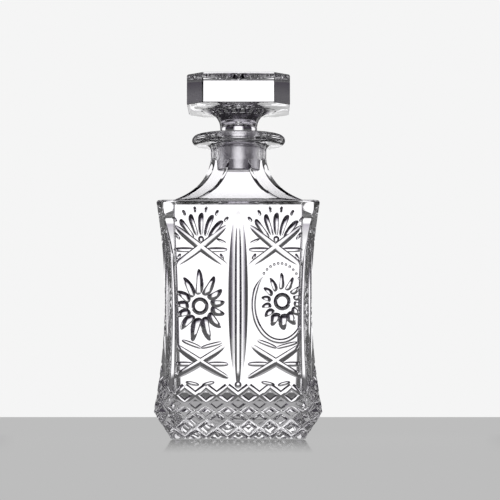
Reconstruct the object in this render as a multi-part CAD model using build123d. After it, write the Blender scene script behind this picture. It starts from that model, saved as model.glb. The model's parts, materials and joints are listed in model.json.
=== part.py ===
"""Square cut-crystal spirit decanter with a ground glass stopper. Millimetres, +Z up.

The origin is the middle of the base, where the bottle stands. The front face looks towards -Y, and the
bottle has the same four faces all round. Each piece of glass is made as a glass house makes it: a moulded
blank, then the cutter's wheels."""

from build123d import *
from math import asin, cos, degrees, hypot, radians, sin, sqrt
import os

# ---------------------------------------------------------------- driving dimensions
# body of the bottle: half widths of its square plan, and the heights where they apply
base_half = 39.3
foot_half = 49.8
foot_height = 16.2
waist_half = 43.6
waist_height = 76.0
shoulder_half = 48.2
shoulder_height = 141.0
shoulder_round = 1.7

# corner facets: how far each is in from the corner of the square plan, measured along the diagonal
base_corner_cut = 1.7
foot_corner_cut = 6.8
waist_corner_cut = 5.4
shoulder_corner_cut = 2.0

# fluted flare from the shoulder up into the neck
neck_radius = 17.05
flare_height = 30.0
face_flute_inset = 2.7  # how far in from the shoulder's edge the four face flutes start
corner_flute_inset = 14.7  # the same for the four corner flutes
ridge_end = 1.16  # radius where the ridges between flutes run out, over the neck's
ridge_fade = 7.0

# collar and mouth
neck_length = 8.2  # the round neck between the flare and the collar
collar_radius = 28.6
collar_height = 6.2
collar_round = 3.0
neck_fillet = 3.0

# walls of the cavity
wall = 5.8
base_thickness = 17.0
cavity_floor_round = 8.0
corner_wall = 4.8
dome_drop = 2.8  # how far below the shoulder the cavity starts to close in
dome_rise = 0.3  # how far above the shoulder the flare's hollow starts
dome_crown = 32.5
throat_radius = 10.9

# ground joint: cone on the stopper, seat in the neck
joint_length = 23.2
joint_top_radius = 12.4
joint_taper = 0.05  # change of radius per millimetre of length
joint_clearance = 0.05
plug_edge = 0.8

# stopper
stem_radius = 11.35
stem_height = 5.4
stem_flare = 10.6
trumpet_radius = 30.2
head_half = 31.2
head_corner_cut = 9.3
head_height = 18.6
head_bevel = 1.4
head_star_points = 16
head_star_width = 4.2
head_star_depth = 1.3
petal_count = 16
petal_width = 4.4
petal_depth = 1.2

# wheel cuts on each face of the body: across from its middle, and up from the base
panel_offset = 22.1
upper_star_drop = 28.1  # from the shoulder down to the middle of the star
lower_star_height = 45.4
arm_reach = 16.4
arm_rise = 12.4
arm_width = 2.8
arm_depth = 1.3
fan_rays = 5  # between the upper arms
fan_spread = 18.3
fan_inner = 8.0
fan_outer = 17.8
fan_width = 2.4
fan_depth = 0.9
sun_height = 78.6
sun_inner = 7.0
sun_petal_width = 3.6
sun_petal_depth = 1.1
left_sun = dict(petals=12, across=14.2, up=20.4, offset=-22.5)
right_sun = dict(petals=14, across=12.6, up=16.8, offset=25.0)
eye_radius = 4.9  # the round hollow in the middle of each sun
eye_depth = 1.0
flute_bottom = 57.0
flute_drop = 14.0  # from the shoulder down to the flute's upper end
flute_width = 11.4
flute_depth = 1.3
mitre_bottom = 31.0
mitre_drop = 5.5
mitre_width = 5.8
mitre_depth = 2.8

# diamond band round the foot
diamond_pitch = 12.9
diamond_height = 9.9
diamond_rows = 3  # half diamonds above the foot line, and as many below it
diamond_width = 2.6
diamond_depth = 1.2

# star on the underside
base_star_radius = 31.0
base_star_points = 16
base_star_width = 4.6
base_star_depth = 1.2

# ---------------------------------------------------------------- values worked out from them
corner_base = base_half * sqrt(2) - base_corner_cut
corner_foot = foot_half * sqrt(2) - foot_corner_cut
corner_waist = waist_half * sqrt(2) - waist_corner_cut
corner_shoulder = shoulder_half * sqrt(2) - shoulder_corner_cut
face_flute = shoulder_half - face_flute_inset
corner_flute = corner_shoulder - corner_flute_inset
flare_top = shoulder_height + flare_height
collar_bottom = flare_top + neck_length
collar_top = collar_bottom + collar_height
cavity_corner = corner_waist - corner_wall
dome_start = shoulder_height - dome_drop
dome_top = shoulder_height + dome_rise
upper_star_height = shoulder_height - upper_star_drop
joint_bottom = collar_top - joint_length
joint_bottom_radius = joint_top_radius - joint_taper * joint_length
head_bottom = collar_top + stem_height + stem_flare
overall_height = head_bottom + head_height
clear = 2 * foot_half  # outside everything
headroom = 0.5  # how far a wheel's section stands out of the glass

os.makedirs("parts", exist_ok=True)


# ---------------------------------------------------------------- helpers
def outline(*pieces):
    """Joins points and curves drawn in the XZ plane, in order, into one closed face."""
    edges, first, last = [], None, None
    for piece in pieces:
        start = Vector(piece) if isinstance(piece, tuple) else piece @ 0
        if first is None:
            first = start
        elif (start - last).length > 1e-6:
            edges.append(Line(last, start))
        if isinstance(piece, tuple):
            last = start
        else:
            edges.append(piece)
            last = piece @ 1
    edges.append(Line(last, first))
    return Face(Wire(edges))


def walls(half_outline):
    """A pair of opposite walls: one half outline, on both sides of the axis, run through the body."""
    one = extrude(half_outline, clear, dir=(0, 1, 0), both=True)
    return one + mirror(one, Plane.YZ)


def turn(part, angle):
    return Rot(0, 0, angle) * part


def face_half(height):
    """Half width of the body over its faces, at a height on the waisted wall."""
    (ax, az), (bx, bz), (cx, cz) = (
        (foot_half, foot_height), (waist_half, waist_height),
        (shoulder_half, shoulder_height - shoulder_round),
    )
    d = 2 * (ax * (bz - cz) + bx * (cz - az) + cx * (az - bz))
    sa, sb, sc = ax * ax + az * az, bx * bx + bz * bz, cx * cx + cz * cz
    ux = (sa * (bz - cz) + sb * (cz - az) + sc * (az - bz)) / d
    uz = (sa * (cx - bx) + sb * (ax - cx) + sc * (bx - ax)) / d
    return ux - sqrt(hypot(ax - ux, az - uz) ** 2 - (height - uz) ** 2)


def wheel_cut(start, end, bottom, outward, width, depth):
    """The glass that a V-edged wheel takes out between two points on a surface.

    bottom is the deepest point of the cut, and outward points out of the glass there."""
    a, b, m = Vector(start), Vector(end), Vector(bottom)
    ring = Wire(ThreePointArc(a, m, b)).edge()
    centre, radius = ring.arc_center, ring.radius
    axis = (a - m).cross(b - m).normalized()
    inward = (m - centre).normalized()
    if inward.dot(Vector(outward)) > 0:  # the wheel's centre is always outside the glass
        raise ValueError("cut runs the wrong way")
    open_depth = depth + headroom
    open_half = open_depth * width / 2 / depth
    section = Plane(origin=centre, x_dir=inward, z_dir=axis.cross(inward) * -1)
    face = section * make_face(
        Polyline(
            (radius, 0), (radius - open_depth, open_half), (radius - open_depth, -open_half), close=True
        )
    )
    sweep = 2 * degrees(asin(min(1.0, (b - a).length / 2 / radius))) * 1.12
    spin = Axis(centre, axis)
    return revolve(face.rotate(spin, -sweep / 2), spin, sweep)


def face_cut(u0, v0, u1, v1, width, depth):
    """A wheel cut on the front face between two places given across and up."""
    start, end = (u0, -face_half(v0), v0), (u1, -face_half(v1), v1)
    u, v = (u0 + u1) / 2, (v0 + v1) / 2
    bottom = (u, -face_half(v) + depth, v)
    return wheel_cut(start, end, bottom, (0, -1, 0), width, depth)


def round_hollow(u, v, radius, depth):
    """The glass that a ball-edged wheel takes out of the front face: a round hollow."""
    ball = (radius**2 + depth**2) / 2 / depth
    return Pos(u, -face_half(v) + depth - ball, v) * Sphere(ball)


def straight_cut(start, end, outward, width, depth):
    """The glass that a V-edged wheel takes out along a line, at one depth, with ends cut square."""
    along = (Vector(end) - Vector(start)).normalized()
    side = along.cross(Vector(outward)).normalized()
    section = Plane(origin=start, x_dir=side, z_dir=along)
    top = headroom + depth
    flip = 1 if section.y_dir.dot(Vector(outward)) > 0 else -1
    face = section * make_face(
        Polyline(
            (0, -flip * depth), (top * width / 2 / depth, flip * headroom),
            (-top * width / 2 / depth, flip * headroom), close=True,
        )
    )
    return extrude(face, (Vector(end) - Vector(start)).length, dir=along)


def ray_cut(angle, inner, outer, height, width, depth, up=1):
    """A wheel cut along a ray on a flat surface at a height, open upwards or downwards."""
    c, s = cos(radians(angle)), sin(radians(angle))
    middle = (inner + outer) / 2
    start, end = (inner * c, inner * s, height), (outer * c, outer * s, height)
    bottom = (middle * c, middle * s, height - up * depth)
    return wheel_cut(start, end, bottom, (0, 0, up), width, depth)


# ================================================================ bottle
# Moulded blank: four waisted walls, with a chamfered foot and a rounded shoulder, and four cut corners.
def waisted(base, foot, waist, shoulder):
    """Half outline of a wall or of a corner facet, from the base up over the shoulder's edge."""
    arm = shoulder_round * (1 - sqrt(0.5))
    return outline(
        (0, 0, 0),
        (base, 0, 0),
        ThreePointArc(
            (foot, 0, foot_height), (waist, 0, waist_height), (shoulder, 0, shoulder_height - shoulder_round)
        ),
        ThreePointArc(
            (shoulder, 0, shoulder_height - shoulder_round),
            (shoulder - arm, 0, shoulder_height - arm),
            (shoulder - shoulder_round, 0, shoulder_height),
        ),
        (0, 0, shoulder_height),
    )


face_wall = walls(waisted(base_half, foot_half, waist_half, shoulder_half))
corner_facets = walls(waisted(corner_base, corner_foot, corner_waist, corner_shoulder))
body = face_wall & turn(face_wall, 90) & turn(corner_facets, 45) & turn(corner_facets, 135)


def flute(start):
    """Half outline of a flute's curve, from the shoulder up into the neck."""
    return outline(
        (0, 0, shoulder_height - 4),
        (start, 0, shoulder_height - 4),
        Bezier(
            (start, 0, shoulder_height), (0.71 * start, 0, shoulder_height + 4),
            (1.06 * neck_radius, 0, shoulder_height + 13), (neck_radius, 0, flare_top),
        ),
        (0, 0, flare_top),
    )


face_flare = walls(flute(face_flute))
corner_flare = walls(flute(corner_flute))
flare = face_flare & turn(face_flare, 90) & turn(corner_flare, 45) & turn(corner_flare, 135)
# The ridges between the flutes run out into the round neck.
flare &= revolve(
    outline(
        (0, 0, shoulder_height - 4),
        (clear, 0, shoulder_height - 4),
        (clear, 0, shoulder_height + 10),
        (ridge_end * neck_radius, 0, flare_top - ridge_fade),
        ThreePointArc(
            (ridge_end * neck_radius, 0, flare_top - ridge_fade),
            ((1 + (ridge_end - 1) * 0.3) * neck_radius, 0, flare_top - ridge_fade / 2),
            (neck_radius, 0, flare_top),
        ),
        (0, 0, flare_top),
    ),
    Axis.Z,
)

# Neck and collar are turned. The neck's fillet runs out under the collar.
neck_outline = outline(
    (0, 0, shoulder_height),
    (neck_radius, 0, shoulder_height),
    (neck_radius, 0, collar_bottom - neck_fillet),
    ThreePointArc(
        (neck_radius, 0, collar_bottom - neck_fillet),
        (neck_radius + neck_fillet * (1 - sqrt(0.5)), 0, collar_bottom - neck_fillet * (1 - sqrt(0.5))),
        (neck_radius + neck_fillet, 0, collar_bottom),
    ),
    ThreePointArc(
        (collar_radius - collar_round, 0, collar_bottom),
        (collar_radius, 0, collar_bottom + collar_height / 2),
        (collar_radius - collar_round, 0, collar_top),
    ),
    (0, 0, collar_top),
)
neck = revolve(neck_outline, Axis.Z)
blank = body + flare + neck

# Cavity: flat sides that follow the walls, a shoulder that follows the flare, a throat and the ground seat.
cavity_wall = walls(
    outline(
        (0, 0, base_thickness),
        (waist_half - wall, 0, base_thickness),
        ThreePointArc(
            (waist_half - wall + 1.2, 0, foot_height + 14), (waist_half - wall, 0, waist_height),
            (waist_half - wall + 1.0, 0, dome_start),
        ),
        (waist_half - wall + 1.0, 0, shoulder_height),
        (0, 0, shoulder_height),
    )
)
seat_bottom_radius = joint_bottom_radius + joint_clearance
cavity_turned = revolve(
    outline(
        (0, 0, base_thickness),
        ThreePointArc(
            (cavity_corner - cavity_floor_round, 0, base_thickness),
            (
                cavity_corner - cavity_floor_round * (1 - sqrt(0.5)), 0,
                base_thickness + cavity_floor_round * (1 - sqrt(0.5)),
            ),
            (cavity_corner, 0, base_thickness + cavity_floor_round),
        ),
        Bezier(
            (cavity_corner, 0, dome_start), (cavity_corner, 0, dome_top - 1.5),
            (dome_crown + 8, 0, dome_top - 1.5), (dome_crown, 0, dome_top),
        ),
        (0, 0, dome_top),
    ),
    Axis.Z,
)
cavity = cavity_turned & cavity_wall & turn(cavity_wall, 90)
throat = revolve(
    outline(
        (0, 0, dome_start),
        (dome_crown, 0, dome_start),
        Bezier(
            (dome_crown, 0, dome_top), (dome_crown - 9, 0, dome_top + 4),
            (throat_radius + 0.5, 0, dome_top + 11), (throat_radius, 0, joint_bottom - 4),
        ),
        (throat_radius, 0, joint_bottom - plug_edge),
        (seat_bottom_radius, 0, joint_bottom - plug_edge),
        (seat_bottom_radius, 0, joint_bottom),
        (joint_top_radius + joint_clearance, 0, collar_top),
        (joint_top_radius + joint_clearance, 0, collar_top + 5),
        (0, 0, collar_top + 5),
    ),
    Axis.Z,
)
bottle = blank - cavity - throat

# Wheel cuts, the same on all four faces: the middle flute with its mitre, two crossed stars and a sun on
# each panel, and the band of diamonds round the foot, which also runs over the corner facets.
cuts = [
    face_cut(0, flute_bottom, 0, shoulder_height - flute_drop, flute_width, flute_depth),
    face_cut(0, mitre_bottom, 0, shoulder_height - mitre_drop, mitre_width, mitre_depth),
]
for side, sun in ((-1, left_sun), (1, right_sun)):
    u = side * panel_offset
    for v in (upper_star_height, lower_star_height):
        for rise in (-arm_rise, arm_rise):
            cuts.append(face_cut(u - arm_reach, v - rise, u + arm_reach, v + rise, arm_width, arm_depth))
    for n in range(fan_rays):
        a = radians(90 + fan_spread * (n - (fan_rays - 1) / 2))
        cuts.append(
            face_cut(
                u + fan_inner * cos(a), upper_star_height + fan_inner * sin(a), u + fan_outer * cos(a),
                upper_star_height + fan_outer * sin(a), fan_width, fan_depth,
            )
        )
    cuts.append(round_hollow(sun["offset"], sun_height, eye_radius, eye_depth))
    for n in range(sun["petals"]):
        a = radians(90 + 360 / sun["petals"] * n)
        reach = sun["across"] * sun["up"] / hypot(sun["up"] * cos(a), sun["across"] * sin(a))
        cuts.append(
            face_cut(
                sun["offset"] + sun_inner * cos(a), sun_height + sun_inner * sin(a),
                sun["offset"] + reach * cos(a), sun_height + reach * sin(a), sun_petal_width, sun_petal_depth,
            )
        )


def diamonds(foot, base, upper, half_band, phase):
    """Crossed V cuts above and below the foot line of one wall, seen from the front.

    upper is the wall's half width at the top of the band. Cuts that would miss the wall are left out."""
    rise, run = diamond_rows * diamond_height / 2, diamond_rows * diamond_pitch / 2
    found = []
    count = int(half_band / diamond_pitch) + 2
    for n in range(-count, count + 1):
        x = (n + phase) * diamond_pitch
        for lean in (-run, run):
            if min(abs(x), abs(x + lean)) > half_band - 1 and x * (x + lean) > 0:
                continue
            node = (x, -foot, foot_height)
            above = (x + lean, -upper, foot_height + rise)
            below = (x + lean, -foot + (foot - base) * rise / foot_height, foot_height - rise)
            for end, outward in ((above, (0, -rise, foot - upper)), (below, (0, -foot_height, base - foot))):
                found.append(straight_cut(node, end, outward, diamond_width, diamond_depth))
    return found


band_top = foot_height + diamond_rows * diamond_height / 2
cuts += diamonds(foot_half, base_half, face_half(band_top), 2 * corner_foot / sqrt(2) - foot_half, 0)
all_cuts = [turn(cut, 90 * quarter) for quarter in range(4) for cut in cuts]
corner_upper = corner_foot - (foot_half - face_half(band_top)) * 0.9
corner_cuts = diamonds(
    corner_foot, corner_base, corner_upper, foot_half * sqrt(2) - corner_foot, 0.5
)
all_cuts += [turn(cut, 45 + 90 * quarter) for quarter in range(4) for cut in corner_cuts]
for n in range(base_star_points // 2):
    angle = 360 / base_star_points * n
    all_cuts.append(
        turn(ray_cut(0, -base_star_radius, base_star_radius, 0, base_star_width, base_star_depth, -1), angle)
    )
bottle = bottle.cut(*[s for c in all_cuts for s in c.solids()])
bottle.label = "bottle"
export_step(bottle, "parts/bottle.step")

# ================================================================ stopper
# Square head with cut corners on a trumpet foot, then the ground plug that seats in the neck.
head_plan = make_face(
    Polyline(
        *[
            (sx * x, sy * y)
            for sx, sy, flip in ((1, 1, 0), (-1, 1, 1), (-1, -1, 0), (1, -1, 1))
            for x, y in (
                ((head_half, head_half - head_corner_cut), (head_half - head_corner_cut, head_half))
                if not flip
                else ((head_half - head_corner_cut, head_half), (head_half, head_half - head_corner_cut))
            )
        ],
        close=True,
    )
)
head = Pos(0, 0, head_bottom) * extrude(head_plan, head_height)
head = chamfer(head.edges().filter_by(lambda e: abs(e.center().Z - overall_height) < 0.01), head_bevel)
trumpet = Bezier(
    (stem_radius, 0, collar_top + stem_height),
    (stem_radius + 1, 0, collar_top + stem_height + 0.75 * stem_flare),
    (stem_radius + 7, 0, head_bottom - 0.8),
    (trumpet_radius, 0, head_bottom),
)
stem = revolve(
    outline(
        (0, 0, joint_bottom),
        (joint_bottom_radius - plug_edge, 0, joint_bottom),
        (joint_bottom_radius, 0, joint_bottom + plug_edge),
        (joint_top_radius, 0, collar_top),
        (stem_radius, 0, collar_top + 2.4),
        (stem_radius, 0, collar_top + stem_height),
        trumpet,
        (trumpet_radius, 0, head_bottom + 1),
        (0, 0, head_bottom + 1),
    ),
    Axis.Z,
)
stopper = head + stem
top_cuts = [
    turn(
        ray_cut(0, -head_half + 3, head_half - 3, overall_height, head_star_width, head_star_depth),
        360 / head_star_points * n,
    )
    for n in range(head_star_points // 2)
]
into_glass = (trumpet @ 0.55) + Vector(-0.35, 0, 0.94) * petal_depth
petal = wheel_cut(trumpet @ 0.3, trumpet @ 0.93, into_glass, (0.35, 0, -0.94), petal_width, petal_depth)
top_cuts += [turn(petal, 360 / petal_count * n) for n in range(petal_count)]
stopper = stopper.cut(*[s for c in top_cuts for s in c.solids()])
stopper.label = "stopper"
export_step(stopper, "parts/stopper.step")

for name, piece in (("bottle", bottle), ("stopper", stopper)):
    box = piece.bounding_box()
    print(name, len(piece.solids()), piece.is_valid, round(piece.volume), box.min, box.max)
print("capacity about ml", round((cavity + throat).volume / 1000))
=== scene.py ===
import json
from math import asin, atan2, cos, degrees, hypot, pi, radians, sin, sqrt

import bmesh
import bpy
from mathutils import Matrix, Vector

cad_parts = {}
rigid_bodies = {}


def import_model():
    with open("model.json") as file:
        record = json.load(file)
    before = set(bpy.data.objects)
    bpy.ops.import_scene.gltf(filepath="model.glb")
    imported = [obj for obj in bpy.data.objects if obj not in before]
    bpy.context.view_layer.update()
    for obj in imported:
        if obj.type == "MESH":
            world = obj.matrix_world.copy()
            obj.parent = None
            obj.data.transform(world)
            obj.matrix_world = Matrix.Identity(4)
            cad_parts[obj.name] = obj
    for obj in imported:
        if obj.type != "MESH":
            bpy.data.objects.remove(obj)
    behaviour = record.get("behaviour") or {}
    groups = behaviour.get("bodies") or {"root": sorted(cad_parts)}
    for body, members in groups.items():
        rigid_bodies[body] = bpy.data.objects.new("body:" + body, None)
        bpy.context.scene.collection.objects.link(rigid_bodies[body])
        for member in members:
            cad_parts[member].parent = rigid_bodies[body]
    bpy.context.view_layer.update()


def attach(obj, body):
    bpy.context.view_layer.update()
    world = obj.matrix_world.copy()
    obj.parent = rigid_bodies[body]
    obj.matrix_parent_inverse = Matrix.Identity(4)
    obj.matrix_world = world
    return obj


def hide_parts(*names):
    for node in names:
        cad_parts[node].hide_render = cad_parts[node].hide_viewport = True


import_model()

# ---------------------------------------------------------------- table, light and camera
# A plain pale table under a bright backdrop, as glass is shown in a studio: bright panels stand level
# with the glass all round, one for each face and corner, and the dark between them draws its edges.
mm = 0.001
scene = bpy.context.scene
scene.view_settings.view_transform = "Standard"

eye_height = 13.2 * mm
eye_distance = 1250 * mm
eye_aside = 7 * mm
eye_tilt = radians(4.657)

camera = bpy.data.objects.new("camera", bpy.data.cameras.new("camera"))
camera.data.lens = 147.6
camera.data.sensor_width = 36
camera.data.clip_end = 1000
camera.location = (eye_aside, -eye_distance, eye_height)
camera.rotation_euler = (pi / 2 + eye_tilt, 0, 0)
scene.collection.objects.link(camera)
scene.camera = camera


class Value:
    """A number in a material or in the light: arithmetic on it adds Math nodes."""

    def __init__(self, tree, socket):
        self.tree = tree
        self.socket = socket

    def math(self, operation, *others):
        node = self.tree.nodes.new("ShaderNodeMath")
        node.operation = operation
        for slot, other in zip(node.inputs, (self, *others)):
            if isinstance(other, Value):
                self.tree.links.new(other.socket, slot)
            else:
                slot.default_value = other
        return Value(self.tree, node.outputs[0])

    def __add__(self, other):
        return self.math("ADD", other)

    def __sub__(self, other):
        return self.math("SUBTRACT", other)

    def __rsub__(self, other):
        return (self * -1) + other

    def __mul__(self, other):
        return self.math("MULTIPLY", other)

    def __truediv__(self, other):
        return self.math("DIVIDE", other)

    __radd__ = __add__
    __rmul__ = __mul__

    def clamped(self):
        return self.math("MAXIMUM", 0.0).math("MINIMUM", 1.0)


class Nodes:
    """Adds nodes to one node tree."""

    def __init__(self, tree):
        self.tree = tree
        tree.nodes.clear()

    def add(self, kind, settings=None, **values):
        node = self.tree.nodes.new(kind)
        for name, setting in (settings or {}).items():
            setattr(node, name, setting)
        for name, value in values.items():
            slot = node.inputs[name.replace("_", " ")]
            if isinstance(value, Value):
                self.tree.links.new(value.socket, slot)
            elif isinstance(value, bpy.types.NodeSocket):
                self.tree.links.new(value, slot)
            else:
                slot.default_value = value
        return node

    def value(self, socket):
        return Value(self.tree, socket)

    def mix(self, factor, first, second):
        node = self.tree.nodes.new("ShaderNodeMixShader")
        if isinstance(factor, Value):
            self.tree.links.new(factor.socket, node.inputs[0])
        else:
            node.inputs[0].default_value = factor
        self.tree.links.new(first, node.inputs[1])
        self.tree.links.new(second, node.inputs[2])
        return node.outputs[0]


backdrop = 0.913
panel_glow = 1.22
panel_half_angle = radians(9)
panel_edge = radians(5)
panel_top = radians(17)
panel_top_edge = radians(6)
gap_glow = 0.012
haze_glow = 0.05
haze_scale = 3.2
haze_contrast = 6
overhead_glow = 0.5
overhead_from = radians(48)
overhead_edge = radians(12)


def panels(nodes, x, y):
    """How much of a bright panel stands in a direction of the plan, from 0 to 1."""
    bearing = y.math("ARCTAN2", x)
    off_axis = (bearing + 17 * pi / 8).math("MODULO", pi / 4).math("SUBTRACT", pi / 8).math("ABSOLUTE")
    return ((panel_half_angle + panel_edge / 2 - off_axis) / panel_edge).clamped()


world = bpy.data.worlds.new("studio")
scene.world = world
world.use_nodes = True
sky = Nodes(world.node_tree)
direction = sky.add("ShaderNodeTexCoord").outputs["Generated"]
parts = sky.add("ShaderNodeSeparateXYZ", Vector=direction)
x, y, z = (sky.value(parts.outputs[axis]) for axis in "XYZ")
lift = z.math("ARCSINE")
low = ((panel_top - lift) / panel_top_edge).clamped()
patches = sky.value(
    sky.add("ShaderNodeTexNoise", Vector=direction, Scale=haze_scale, Detail=1.0).outputs["Fac"]
)
haze = ((patches - 0.5) * haze_contrast).clamped() * haze_glow
overhead = ((lift - overhead_from) / overhead_edge).clamped() * overhead_glow
glow = panels(sky, x, y) * low * (panel_glow - gap_glow) + gap_glow + haze + overhead
seen = sky.value(sky.add("ShaderNodeLightPath").outputs["Is Camera Ray"])
strength = glow * (1 - seen) + seen * backdrop
tint = sky.add("ShaderNodeMix", {"data_type": "RGBA"})
tint.inputs["A"].default_value = (0.97, 0.86, 1.1, 1)
tint.inputs["B"].default_value = (1, 1, 1, 1)
sky.tree.links.new((glow * 1.2).clamped().math("MAXIMUM", seen).socket, tint.inputs["Factor"])
light = sky.add("ShaderNodeBackground", Strength=strength, Color=tint.outputs["Result"])
sky.add("ShaderNodeOutputWorld", Surface=light.outputs[0])

# The table is not lit by the lamps: it glows. Camera rays see it at one even tone. Rays that reach it through
# the glass see a painted glow instead: a brighter pool round the foot, and the bright panels carried on
# across the far table.
table_tone = 0.509
table_near_glow = 0.3
table_glow = 0.1
table_near = 0.075
table_far = 0.42
table_reach = 0.12
table_near_edge = 0.015
table_size = 300
table_gloss_reach = 0.5
table_gloss_falloff = 15.0
table_mesh = bmesh.new()
bmesh.ops.create_grid(table_mesh, x_segments=1, y_segments=1, size=table_size)
table = bpy.data.objects.new("table", bpy.data.meshes.new("table"))
table_mesh.to_mesh(table.data)
table_mesh.free()
scene.collection.objects.link(table)
top = bpy.data.materials.new("table")
top.use_nodes = True
paint = Nodes(top.node_tree)
place = paint.add("ShaderNodeSeparateXYZ", Vector=paint.add("ShaderNodeTexCoord").outputs["Object"])
x, y = (paint.value(place.outputs[axis]) for axis in "XY")
distance = (x * x + y * y).math("SQRT")
far = ((distance - table_far) / table_reach).clamped()
near = ((table_near - distance) / table_near_edge + 0.5).clamped()
painted_glow_through_glass = far * panels(paint, x, y) * (panel_glow - table_glow) + near * table_near_glow + table_glow
seen = paint.value(paint.add("ShaderNodeLightPath").outputs["Is Camera Ray"])
tone = painted_glow_through_glass * (1 - seen) + seen * table_tone
# Painted glow: the table gives out its own light in place of being lit, so it also takes no shadow.
painted_table_glow = paint.add("ShaderNodeEmission", Color=(1, 1, 1, 1), Strength=tone)
shine = paint.add("ShaderNodeBsdfGlossy", Roughness=0.03, Color=(0.42, 0.42, 0.42, 1))
grazing = paint.value(paint.add("ShaderNodeLayerWeight", Blend=0.5).outputs["Facing"])
gloss = grazing.math("POWER", table_gloss_falloff) * (1 - distance / table_gloss_reach).clamped()
paint.add("ShaderNodeOutputMaterial", Surface=paint.mix(gloss, painted_table_glow.outputs[0], shine.outputs[0]))
table.data.materials.append(top)

# ---------------------------------------------------------------- bottle: the moulded blank
# One piece of clear lead crystal, blown in a square mould: waisted walls with cut corners, a fluted
# flare, a round neck and collar, and a hollow inside with its own round-cornered walls.
base_half = 39.3
foot_half = 49.8
foot_height = 16.2
waist_half = 43.6
waist_height = 76.0
shoulder_half = 48.2
shoulder_height = 141.0
shoulder_round = 1.7
corner_base = 53.9
corner_foot = 63.6
corner_waist = 56.3
corner_shoulder = 66.2
neck_radius = 17.05
flare_top = 171.0
face_flute = 45.5
corner_flute = 51.5
ridge_end = 1.16
ridge_fade = 7.0
neck_fillet = 3.0
collar_radius = 28.6
collar_round = 3.0
collar_bottom = 179.2
collar_top = 185.4
joint_length = 23.2
joint_top_radius = 12.4
joint_taper = 0.05
joint_clearance = 0.05
throat_radius = 10.9
wall = 5.8
floor_height = 17.0
floor_round = 6.0
hollow_corner_top = 1.2
hollow_corner_foot = 7.0
flare_wall = 4.8
dome_start = 138.2
flat_steps = 5
corner_steps = 5


def arc_through(first, middle, last):
    """Half width at any height on the circular arc through three (half width, height) points."""
    (ax, az), (bx, bz), (cx, cz) = first, middle, last
    d = 2 * (ax * (bz - cz) + bx * (cz - az) + cx * (az - bz))
    sa, sb, sc = ax * ax + az * az, bx * bx + bz * bz, cx * cx + cz * cz
    ux = (sa * (bz - cz) + sb * (cz - az) + sc * (az - bz)) / d
    uz = (sa * (cx - bx) + sb * (ax - cx) + sc * (bx - ax)) / d
    radius = hypot(ax - ux, az - uz)
    side = 1 if ax < ux else -1
    return lambda height: ux - side * sqrt(radius**2 - (height - uz) ** 2)


def bezier(t, *points):
    """A point on a Bezier curve through plane points."""
    while len(points) > 1:
        points = [tuple(p + (q - p) * t for p, q in zip(a, b)) for a, b in zip(points, points[1:])]
    return points[0]


def bearings(ridge):
    """Places of a ring's points on an eighth of a turn, from the middle of a face to its corner."""
    flat = [ridge * n / flat_steps for n in range(flat_steps)]
    return flat + [ridge + (pi / 4 - ridge) * n / corner_steps for n in range(corner_steps + 1)]


def square_ring(height, face, corner, limit=1e9):
    """A square with cut corners, kept inside a circle."""
    local = bearings(atan2(corner * sqrt(2) - face, face))
    return height, local, [min(face / cos(a), corner / cos(pi / 4 - a), limit) for a in local]


def soft_ring(height, half, corner_radius):
    """A square with round corners."""
    inner = half - corner_radius
    edge = atan2(inner, half)
    local = bearings(max(edge, pi / 8))
    reach = [
        half / cos(a) if a < edge
        else inner * sqrt(2) * cos(pi / 4 - a)
        + sqrt(max(0, corner_radius**2 - (inner * sqrt(2) * sin(pi / 4 - a)) ** 2))
        for a in local
    ]
    return height, local, reach


def round_ring(height, radius):
    return soft_ring(height, radius, radius)


def blow(rings):
    """Draws a closed skin through a stack of rings, from the first to the last, and closes both ends."""
    steps = flat_steps + corner_steps
    mesh = bmesh.new()
    loop = bmesh.ops.create_circle(mesh, segments=8 * steps, radius=1)["verts"]
    first = list(loop)
    for number, (height, local, reach) in enumerate(rings):
        if number:
            before = set(loop)
            edges = [e for v in loop for e in v.link_edges if e.other_vert(v) in before]
            grown = bmesh.ops.extrude_edge_only(mesh, edges=list(set(edges)))["geom"]
            above = {
                e.other_vert(v): v for v in grown if isinstance(v, bmesh.types.BMVert)
                for e in v.link_edges if e.other_vert(v) in before
            }
            loop = [above[v] for v in loop]
        for n, v in enumerate(loop):
            part, place = divmod(n, steps)
            if part % 2 == 0:
                a, r = part * pi / 4 + local[place], reach[place]
            else:
                a, r = (part + 1) * pi / 4 - local[steps - place], reach[steps - place]
            v.co = (r * cos(a) * mm, r * sin(a) * mm, height * mm)
    bmesh.ops.contextual_create(mesh, geom=first)
    bmesh.ops.contextual_create(mesh, geom=loop)
    bmesh.ops.recalc_face_normals(mesh, faces=mesh.faces)
    return mesh


def half_round(middle, height, radius, swell, steps):
    """Rings of a rounded edge that swells by so much, from its lower side to its upper side."""
    for n in range(steps + 1):
        a = -pi / 2 + pi * n / steps
        yield round_ring(middle + height / 2 * sin(a), radius - swell + swell * cos(a))


wall_face = arc_through(
    (foot_half, foot_height), (waist_half, waist_height), (shoulder_half, shoulder_height - shoulder_round)
)
wall_corner = arc_through(
    (corner_foot, foot_height), (corner_waist, waist_height),
    (corner_shoulder, shoulder_height - shoulder_round),
)
base_edge = 0.6
base_lean = (foot_half - base_half) / foot_height
rings = [square_ring(0, base_half - base_edge, corner_base - base_edge)]
rings.append(square_ring(base_edge, base_half + base_edge * base_lean, corner_base + base_edge * base_lean))
wall_steps = 40
for n in range(wall_steps + 1):
    h = foot_height + (shoulder_height - shoulder_round - foot_height) * n / wall_steps
    rings.append(square_ring(h, wall_face(h), wall_corner(h)))
for n in range(1, 5):
    a = pi / 2 * n / 4
    pull, h = shoulder_round * (1 - cos(a)), shoulder_height - shoulder_round * (1 - sin(a))
    rings.append(square_ring(h, shoulder_half - pull, corner_shoulder - pull))


def flute(t, start):
    """Half width and height along a flute of the flare."""
    return bezier(
        t, (start, shoulder_height), (0.71 * start, shoulder_height + 4),
        (1.06 * neck_radius, shoulder_height + 13), (neck_radius, flare_top),
    )


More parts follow.
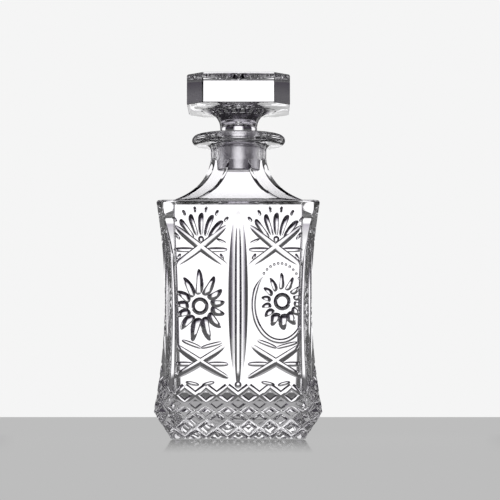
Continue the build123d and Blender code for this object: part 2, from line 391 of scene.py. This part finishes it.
flare_steps = 28
for n in range(flare_steps):
    face, h = flute(n / flare_steps, face_flute)
    corner = flute(n / flare_steps, corner_flute)[0]
    fade = (flare_top - h) / ridge_fade
    if fade < 1:
        limit = neck_radius * (1 + (ridge_end - 1) * fade**1.3)
    else:
        limit = neck_radius * ridge_end + (fade - 1) * ridge_fade * 3
    rings.append(square_ring(h, face, corner, limit))
rings.append(round_ring(flare_top, neck_radius))
for n in range(7):
    a = pi / 2 * n / 6
    h = collar_bottom - neck_fillet * (1 - sin(a))
    rings.append(round_ring(h, neck_radius + neck_fillet * (1 - cos(a))))
collar_middle = (collar_top + collar_bottom) / 2
rings += half_round(collar_middle, collar_top - collar_bottom, collar_radius, collar_round, 12)
joint_bottom = collar_top - joint_length
seat_top = joint_top_radius + joint_clearance
seat_bottom = seat_top - joint_taper * joint_length
mouth_round = 0.5
rings.append(round_ring(collar_top, seat_top + mouth_round))
rings.append(round_ring(collar_top - mouth_round, seat_top))
rings.append(round_ring(joint_bottom, seat_bottom))
rings.append(round_ring(joint_bottom - 0.8, seat_bottom))
throat_top = joint_bottom - 0.9
rings.append(round_ring(throat_top, throat_radius))
hollow_half = waist_half - wall
hollow_wall = arc_through((hollow_half + 1.2, 30), (hollow_half, 76), (hollow_half + 1.0, dome_start))


def inside_flute(t, start):
    """The same, a wall's thickness inside the glass."""
    (x, h), (x2, h2) = flute(t, start), flute(t + 0.001, start)
    run = hypot(x2 - x, h2 - h)
    return x - flare_wall * (h2 - h) / run, h - flare_wall * (x - x2) / run


last = 0.97
for n in range(25):
    t = last * (1 - n / 24)
    face, h = inside_flute(t, face_flute)
    corner = inside_flute(t, corner_flute)[0]
    if face < hollow_wall(dome_start) - 1:
        rings.append(square_ring(h, max(face, throat_radius), max(corner, throat_radius)))
rings.append(soft_ring(dome_start + 0.6, hollow_wall(dome_start) - 0.3, hollow_corner_top))


def hollow_corner(h):
    """Radius of the hollow's corners, which are sharper towards the shoulder."""
    drop = (dome_start - h) / (dome_start - foot_height)
    return hollow_corner_top + (hollow_corner_foot - hollow_corner_top) * drop**1.5


floor_start = floor_height + floor_round
for n in range(1, 25):
    h = dome_start - (dome_start - floor_start) * n / 24
    rings.append(soft_ring(h, hollow_wall(h), hollow_corner(h)))
for n in range(1, 9):
    a = pi / 2 * n / 8
    pull = 1 - cos(a)
    h = floor_start - floor_round * sin(a)
    half = hollow_wall(floor_start) - floor_round * pull
    rings.append(soft_ring(h, half, hollow_corner(floor_start) * (1 - 0.4 * pull)))
blank = blow(rings)
bottle = bpy.data.objects.new("cut_bottle", bpy.data.meshes.new("cut_bottle"))
blank.to_mesh(bottle.data)
blank.free()
scene.collection.objects.link(bottle)


# ---------------------------------------------------------------- bottle: the wheel cuts
# The cutter works the cold blank with stone wheels: a round-edged one for the leaves, flutes and mitres,
# and a sharp one for the diamonds. Every face has the same pattern.
def wheel_edge(width, depth, facets, slant=0.0, headroom=0.5):
    """Section of a cut: places across it and above the surface. Two facets make a sharp V.

    A tilted wheel makes a slanted cut, whose deepest place is off its middle."""
    radius = ((width / 2) ** 2 + depth**2) / (2 * depth)
    lean = atan2(width / 2, radius - depth)
    turns = [lean * (2 * n / facets - 1) for n in range(facets + 1)]
    arc = [(radius * sin(a), radius - depth - radius * cos(a)) for a in turns]
    arc = [(across - slant * width / 2 * up / depth, up) for across, up in arc]
    return arc + [(width / 2 + headroom / 2, headroom), (-width / 2 - headroom / 2, headroom)]


def wheel(start, end, deepest, width, depth, facets=8, steps=12, taper=0.0, slant=0.0):
    """The glass that a wheel takes out from one point of a surface to another.

    deepest is the lowest point of the cut, half way along. A tapered cut is wider at its start."""
    a, b, m = Vector(start), Vector(end), Vector(deepest)
    middle = (a + b) / 2
    sink = (m - middle).length
    inward = (m - middle) / sink
    side = (b - a).cross(inward).normalized()
    radius = ((b - a).length_squared / 4 + sink**2) / (2 * sink)
    centre = m - inward * radius
    sweep = 2 * asin(min(1, (b - a).length / 2 / radius)) * 1.08
    mesh = bmesh.new()
    section = [
        mesh.verts.new((m + side * across - inward * (up + depth)) * mm)
        for across, up in wheel_edge(width, depth, facets, slant)
    ]
    mesh.faces.new(section)
    turned = Matrix.Rotation(-sweep / 2, 3, side)
    bmesh.ops.rotate(mesh, verts=mesh.verts, cent=centre * mm, matrix=turned)
    bmesh.ops.spin(
        mesh, geom=mesh.verts[:] + mesh.edges[:] + mesh.faces[:], cent=centre * mm, axis=side, angle=sweep,
        steps=steps, use_duplicate=False, use_merge=False,
    )
    along = (b - a) / (b - a).length_squared * 2
    for v in mesh.verts:
        place = max(-1, min(1, (v.co / mm - middle).dot(along)))
        v.co -= side * (v.co - middle * mm).dot(side) * taper * place
    bmesh.ops.recalc_face_normals(mesh, faces=mesh.faces)
    return mesh


def lay(mesh):
    """Bends a cut that was drawn on a flat plane onto the waisted front wall."""
    for v in mesh.verts:
        v.co.y -= wall_face(max(foot_height - 8, min(v.co.z / mm, shoulder_height))) * mm
    return mesh


def leaf(u0, v0, u1, v1, width, depth, **way):
    """A pointed cut on the front wall between two places given across and up."""
    deepest = ((u0 + u1) / 2, depth, (v0 + v1) / 2)
    return lay(wheel((u0, 0, v0), (u1, 0, v1), deepest, width, depth, **way))


def ray(centre, angle, inner, outer, width, depth, **way):
    """A leaf along a ray from a centre; a negative inner end is on the other side of it."""
    u, v = centre
    c, s = cos(radians(angle)), sin(radians(angle))
    return leaf(u + inner * c, v + inner * s, u + outer * c, v + outer * s, width, depth, **way)


def punty(centre, radius, depth):
    """A round hollow, cut with a ball-edged wheel."""
    ball = (radius**2 + depth**2) / (2 * depth)
    u, v = centre
    mesh = bmesh.new()
    ring = bmesh.ops.create_circle(mesh, segments=32, radius=1)["verts"]
    turns = 7
    open_at = 0.25
    for n in range(turns):
        a = (asin(radius / ball) + open_at * pi / turns) * (1 - n / turns)
        for k, vert in enumerate(ring):
            b = 2 * pi * k / 32
            out = ball * sin(a)
            vert.co = Vector((u + out * cos(b), depth - ball + ball * cos(a), v + out * sin(b))) * mm
        if n == 0:
            rim = list(ring)
        if n < turns - 1:
            before = set(ring)
            edges = [e for w in ring for e in w.link_edges if e.other_vert(w) in before]
            grown = bmesh.ops.extrude_edge_only(mesh, edges=list(set(edges)))["geom"]
            above = {
                e.other_vert(w): w for w in grown if isinstance(w, bmesh.types.BMVert)
                for e in w.link_edges if e.other_vert(w) in before
            }
            ring = [above[w] for w in ring]
    bmesh.ops.contextual_create(mesh, geom=ring)
    bmesh.ops.contextual_create(mesh, geom=rim)
    bmesh.ops.recalc_face_normals(mesh, faces=mesh.faces)
    return lay(mesh)


def groove(start, end, outward, width, depth, facets=2):
    """A straight cut at one depth, right through the glass at both ends."""
    a, b, out = Vector(start), Vector(end), Vector(outward).normalized()
    side = (b - a).cross(out).normalized()
    mesh = bmesh.new()
    section = [
        mesh.verts.new((a + side * across + out * up) * mm) for across, up in wheel_edge(width, depth, facets)
    ]
    grown = bmesh.ops.extrude_face_region(mesh, geom=[mesh.faces.new(section)])["geom"]
    far = [v for v in grown if isinstance(v, bmesh.types.BMVert)]
    bmesh.ops.translate(mesh, verts=far, vec=(b - a) * mm)
    bmesh.ops.recalc_face_normals(mesh, faces=mesh.faces)
    return mesh


def oval(centre, across, up, width, depth, facets, start=0.0, sweep=360.0, fade=0.0):
    """A cut along an oval on the front wall, or along a part of it that dies out at both ends."""
    u, v = centre
    mesh = bmesh.new()
    section = [
        mesh.verts.new((1 + place * mm, -height * mm, 0))
        for place, height in wheel_edge(width, depth, facets)
    ]
    whole = sweep == 360
    geom = section + [mesh.edges.new(pair) for pair in zip(section, section[1:] + section[:1])]
    if not whole:
        geom.append(mesh.faces.new(section))
    bmesh.ops.rotate(mesh, verts=section, cent=(0, 0, 0), matrix=Matrix.Rotation(-radians(start), 3, "Y"))
    bmesh.ops.spin(
        mesh, geom=geom, cent=(0, 0, 0), axis=(0, -1, 0), angle=radians(sweep), steps=round(sweep / 5),
        use_duplicate=False, use_merge=whole,
    )
    for vert in mesh.verts:
        angle = atan2(vert.co.z, vert.co.x)
        place, height = (hypot(vert.co.x, vert.co.z) - 1) / mm, -vert.co.y / mm
        if not whole:
            turned = (degrees(angle) - start + 5) % 360 - 5
            size = max(0.05, min(1.0, (turned + 1) / fade, (sweep - turned + 1) / fade))
            place *= size
            height = height if height > 0 else height * size
        side, rise = u + (across + place) * cos(angle), v + (up + place) * sin(angle)
        vert.co = (side * mm, -height * mm, rise * mm)
    bmesh.ops.recalc_face_normals(mesh, faces=mesh.faces)
    return lay(mesh)


# The pillar in the middle of a face: a wide flute with a mitre along it, and a dot at its foot.
cuts = [leaf(0, 34, 0, 134.5, 11.6, 1.5, facets=12, steps=32)]
cuts += [leaf(0, 31.5, 0, 132, 5.2, 2.7, steps=32), punty((0, 31.9), 2.1, 1.0)]
panel = 22.2

# A fan over crossed mitres at the top of each panel.
for side in (-1, 1):
    star = (side * panel, 112.9)
    for lean, slant in ((37, 0.5), (143, -0.5)):
        cuts.append(ray(star, lean, -19.5, 20.0, 4.3, 2.2, steps=20, slant=slant))
    for n in range(-2, 3):
        cuts.append(ray(star, 90 + 19 * n, 7.0, 20.5, 3.3, 1.6, taper=-0.15, slant=-0.4))
    for heading in (0, 180):
        cuts.append(ray((star[0], star[1] - 1.3), heading, 3.2, 16.0, 3.0, 1.2))
    for n in range(6):
        cuts.append(ray(star, 90 + 17 * (n - 2.5), 20.6, 24.4, 2.0, 0.9, facets=4, steps=6))
    u, v = star
    for from_u, from_v, to_u, to_v, width, depth in (
        (side * 12.0, 4.4, side * 15.4, 9.0, 2.0, 0.8),
        (side * -15.2, 2.6, side * -9.4, 5.2, 1.7, 0.7),
        (11.6, -3.6, 13.6, -7.4, 1.9, 0.8),
        (-11.6, -3.6, -14.0, -7.0, 1.9, 0.8),
    ):
        cuts.append(leaf(u + from_u, v + from_v, u + to_u, v + to_v, width, depth, facets=4, steps=6))
    cuts.append(punty((star[0] + 0.3, star[1] + 5.0), 1.8, 0.9))

# Crossed mitres with small leaves at the bottom of each panel.
for side in (-1, 1):
    star = (side * panel, 45.0)
    for lean, slant in ((32, 0.5), (148, -0.5)):
        cuts.append(ray(star, lean, -19.0, 18.0, 4.5, 2.2, steps=20, slant=slant))
    for heading in (0, 180):
        cuts.append(ray((star[0], star[1] - 0.9), heading, 3.6, 16.6, 3.2, 1.2))
    cuts.append(leaf(star[0] - 11.0, star[1] + 13.2, star[0] + 0.6, star[1] + 8.6, 2.6, 1.0))
    cuts.append(leaf(star[0] + 0.2, star[1] + 8.6, star[0] + 13.0, star[1] + 12.0, 2.6, 1.0))
    cuts.append(leaf(star[0] - 8.6, 33.6, star[0] - 0.6, 31.8, 2.4, 1.0))
    cuts.append(leaf(star[0] + 1.0, 31.6, star[0] + 8.4, 33.6, 2.4, 1.0))


def sun(centre, petals, inner, outer, width, depth, heavy):
    """Pointed leaves round a ring.

    inner and outer are the half widths and half heights that their ends keep to.
    heavy is how much wider the leaves get towards the bottom of the sun."""
    made = [oval(centre, 4.0, 4.1, 2.3, 1.1, 2)]
    for n in range(petals):
        a = pi / 2 + 2 * pi * n / petals
        near, far = (across * up / hypot(up * cos(a), across * sin(a)) for across, up in (inner, outer))
        swell = 1 + heavy * max(0.0, -sin(a)) ** 3
        made.append(ray(centre, degrees(a), near, far, width * swell, depth * swell, taper=0.3, slant=0.45))
    return made


left_sun = (-22.5, 78.3)
right_sun = (26.0, 81.0)
cuts += sun(left_sun, 13, (6.2, 6.6), (14.8, 22.0), 4.2, 2.0, 0.2)
cuts += sun(right_sun, 14, (6.6, 7.0), (12.4, 17.0), 2.9, 1.5, 0.8)
cuts.append(oval((24.7, 79.2), 15.6, 21.6, 3.0, 1.6, 8, 130, 215, 25))
for n in range(11):
    a = radians(38 + 9.4 * n)
    cuts.append(punty((24.7 + 14.2 * cos(a), 80.5 + 23.0 * sin(a)), 0.85, 0.55))
for n in (-1, 1):
    cuts.append(punty((left_sun[0] + 4.6 * n, 60.2), 1.0, 0.6))

# Diamonds: sharp crossed grooves over the foot's edge, which go on round the corner facets.
diamond_pitch = 12.54
diamond_rise = 3 * 4.95
diamond_run = 1.5 * diamond_pitch
diamond_width = 4.2
diamond_depth = 1.5
corner_diamond_width = 2.4
corner_diamond_depth = 0.7


def diamonds(foot, base, top, half_band, phase, width, depth):
    """Crossed grooves above and below the foot's edge, on the wall that faces the front."""
    made = []
    for n in range(-5, 6):
        x = (n + phase) * diamond_pitch
        for lean in (-diamond_run, diamond_run):
            if min(abs(x), abs(x + lean)) > half_band - 1 and x * (x + lean) > 0:
                continue
            node = (x, -foot, foot_height)
            above = (x + lean, -top, foot_height + diamond_rise)
            below = (x + lean, -foot + (foot - base) * diamond_rise / foot_height, foot_height - diamond_rise)
            made.append(groove(node, above, (0, -diamond_rise, foot - top), width, depth, 6))
            made.append(groove(node, below, (0, -foot_height, base - foot), width, depth, 6))
    return made


band_top = foot_height + diamond_rise
face_band = corner_foot * sqrt(2) - foot_half
cuts += diamonds(foot_half, base_half, wall_face(band_top), face_band, 0, diamond_width, diamond_depth)
corner_band = foot_half * sqrt(2) - corner_foot
corner_cuts = diamonds(
    corner_foot, corner_base, wall_corner(band_top), corner_band, 0.5, corner_diamond_width,
    corner_diamond_depth,
)

# The star under the base.
star_reach = 31.0
star_depth = 1.2
for n in range(4):
    turned = Matrix.Rotation(pi / 8 * n, 3, "Z")
    cut = wheel((-star_reach, 0, 0), (star_reach, 0, 0), (0, 0, star_depth), 4.6, star_depth, 2, 24)
    bmesh.ops.rotate(cut, verts=cut.verts, cent=(0, 0, 0), matrix=turned)
    cuts.append(cut)


def cut_away(piece, tools):
    """Takes the cuts out of a piece. tools are pairs of a cut and the angle that it is turned to."""
    wheels = bpy.data.collections.new("wheels")
    scene.collection.children.link(wheels)
    for cut, angle in tools:
        turned = cut.copy()
        bmesh.ops.rotate(turned, verts=turned.verts, cent=(0, 0, 0), matrix=Matrix.Rotation(angle, 3, "Z"))
        for face in turned.faces:
            face.material_index = 1
        mesh = bpy.data.meshes.new("wheel")
        turned.to_mesh(mesh)
        turned.free()
        wheels.objects.link(bpy.data.objects.new("wheel", mesh))
    boolean = piece.modifiers.new("cut", "BOOLEAN")
    boolean.operation = "DIFFERENCE"
    boolean.solver = "MANIFOLD"
    boolean.operand_type = "COLLECTION"
    boolean.collection = wheels
    depsgraph = bpy.context.evaluated_depsgraph_get()
    done = bpy.data.meshes.new_from_object(piece.evaluated_get(depsgraph))
    piece.modifiers.clear()
    piece.data = done
    for wheel_object in list(wheels.objects):
        bpy.data.objects.remove(wheel_object)
    bpy.data.collections.remove(wheels)


def polish(piece, crease=radians(24)):
    """Smooths a piece, but leaves the rims of its cuts and its edges sharp."""
    mesh = bmesh.new()
    mesh.from_mesh(piece.data)
    for face in mesh.faces:
        face.smooth = True
    for edge in mesh.edges:
        faces = edge.link_faces
        if len(faces) == 2:
            rim = {f.material_index == 1 for f in faces} == {True, False}
            edge.smooth = not rim and edge.calc_face_angle(0) < crease
    mesh.to_mesh(piece.data)
    mesh.free()


quarters = [pi / 2 * n for n in range(4)]
tools = [(cut, angle) for angle in quarters for cut in cuts]
tools += [(cut, angle + pi / 4) for angle in quarters for cut in corner_cuts]
bottle.data.materials.append(None)
bottle.data.materials.append(None)
cut_away(bottle, tools)
polish(bottle)


# ---------------------------------------------------------------- lead crystal
# Clear glass with a faint lilac cast. The blank keeps the soft ripple of the mould, the cuts the fine
# lines of the polishing wheel, and the ground joint is frosted.
def crystal(name, roughness, ripple, scale, lone, frost=0.0):
    """Lead crystal, with a share of frost where it is ground.

    lone glass bends light at its near wall only: a ray that has passed two surfaces goes straight on."""
    material = bpy.data.materials.new(name)
    material.use_nodes = True
    nodes = Nodes(material.node_tree)
    place = nodes.add("ShaderNodeTexCoord").outputs["Object"]
    grain = nodes.add("ShaderNodeTexNoise", Vector=place, Scale=scale, Detail=2.0).outputs["Fac"]
    bump = nodes.add("ShaderNodeBump", Height=grain, Strength=ripple, Distance=0.001)
    shader = nodes.add("ShaderNodeBsdfPrincipled", Roughness=roughness, IOR=1.54, Normal=bump.outputs[0])
    shader.inputs["Transmission Weight"].default_value = 1.0
    shader.inputs["Base Color"].default_value = (0.97, 0.96, 0.985, 1)
    surface = shader.outputs[0]
    if frost:
        ground = nodes.add(
            "ShaderNodeBsdfGlossy", Roughness=0.42, Color=(0.72, 0.68, 0.76, 1), Normal=bump.outputs[0]
        )
        surface = nodes.mix(frost, surface, ground.outputs[0])
    if lone:
        crossed = nodes.value(nodes.add("ShaderNodeLightPath").outputs["Transmission Depth"])
        behind = crossed.math("GREATER_THAN", 1.5)
        clear = nodes.add("ShaderNodeBsdfTransparent", Color=(1, 1, 1, 1))
        surface = nodes.mix(behind, surface, clear.outputs[0])
    nodes.add("ShaderNodeOutputMaterial", Surface=surface)
    return material


moulded = crystal("moulded_crystal", 0.0, 0.02, 40, True)
cut_glass = crystal("cut_crystal", 0.0, 0.02, 400, True)
seat_glass = crystal("ground_seat", 0.16, 0.1, 3000, True, 0.08)
for slot, material in enumerate((moulded, cut_glass)):
    bottle.data.materials[slot] = material
bottle.data.materials.append(seat_glass)
for face in bottle.data.polygons:
    spot = face.center / mm
    if joint_bottom - 1 < spot.z < collar_top - mouth_round and hypot(spot.x, spot.y) < seat_top + 0.1:
        face.material_index = 2
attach(bottle, "bottle")
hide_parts("bottle")

# ---------------------------------------------------------------- stopper
# Pressed in one piece and cut: a ground plug, a short stem, a trumpet foot with petals on its underside,
# and a square head with cut corners, a bevelled top edge and a star on top.
stem_radius = 11.35
stem_height = 5.4
stem_flare = 10.6
trumpet_radius = 30.2
head_half = 31.2
head_corner_cut = 9.3
head_height = 18.6
head_bevel = 1.4
plug_edge = 0.8
head_bottom = collar_top + stem_height + stem_flare
head_top = head_bottom + head_height
head_corner = (2 * head_half - head_corner_cut) / sqrt(2)
plug_bottom = joint_top_radius - joint_taper * joint_length


def trumpet(t):
    """Radius and height along the foot of the head."""
    foot = collar_top + stem_height
    return bezier(
        t, (stem_radius, foot), (stem_radius + 1, foot + 0.75 * stem_flare),
        (stem_radius + 7, head_bottom - 0.8), (trumpet_radius, head_bottom),
    )


rings = [round_ring(joint_bottom, plug_bottom - plug_edge), round_ring(joint_bottom + plug_edge, plug_bottom)]
rings += [round_ring(collar_top - 1.2, joint_top_radius - 0.06), round_ring(collar_top, joint_top_radius)]
rings += [round_ring(collar_top + 2.4, stem_radius)]
for n in range(25):
    radius, h = trumpet(n / 24)
    rings.append(round_ring(h, radius))
head_edge = 0.5
rings.append(square_ring(head_bottom, head_half - head_edge, head_corner - head_edge))
rings.append(square_ring(head_bottom + head_edge, head_half, head_corner))
for n in range(5):
    a = pi / 2 * n / 4
    pull, h = head_bevel * (1 - cos(a)), head_top - head_bevel * (1 - sin(a))
    rings.append(square_ring(h, head_half - pull, head_corner - pull))
blank = blow(rings)
stopper = bpy.data.objects.new("cut_stopper", bpy.data.meshes.new("cut_stopper"))
blank.to_mesh(stopper.data)
blank.free()
scene.collection.objects.link(stopper)

top_star_reach = head_half - 4
top_star_depth = 2.4
star = wheel(
    (-top_star_reach, 0, head_top), (top_star_reach, 0, head_top), (0, 0, head_top - top_star_depth),
    5.2, top_star_depth, 2, 24,
)
(ax, az), (mx, mz), (bx, bz) = trumpet(0.25), trumpet(0.52), trumpet(0.8)
petal = wheel((ax, 0, az), (bx, 0, bz), (mx - 0.5, 0, mz + 1.3), 3.6, 1.3, 6, 12)
tools = [(star, pi / 8 * n) for n in range(8)] + [(petal, pi / 10 * n) for n in range(20)]
for material in (None, None):
    stopper.data.materials.append(material)
cut_away(stopper, tools)
polish(stopper)
clear_stopper = crystal("stopper_crystal", 0.0, 0.02, 40, False)
cut_stopper = crystal("stopper_cuts", 0.0, 0.02, 400, False)
ground_plug = crystal("ground_plug", 0.27, 0.1, 3000, False, 0.08)
for slot, material in enumerate((clear_stopper, cut_stopper)):
    stopper.data.materials[slot] = material
stopper.data.materials.append(ground_plug)
for face in stopper.data.polygons:
    if face.center.z / mm < collar_top - 0.6:
        face.material_index = 2
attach(stopper, "stopper")
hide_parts("stopper")
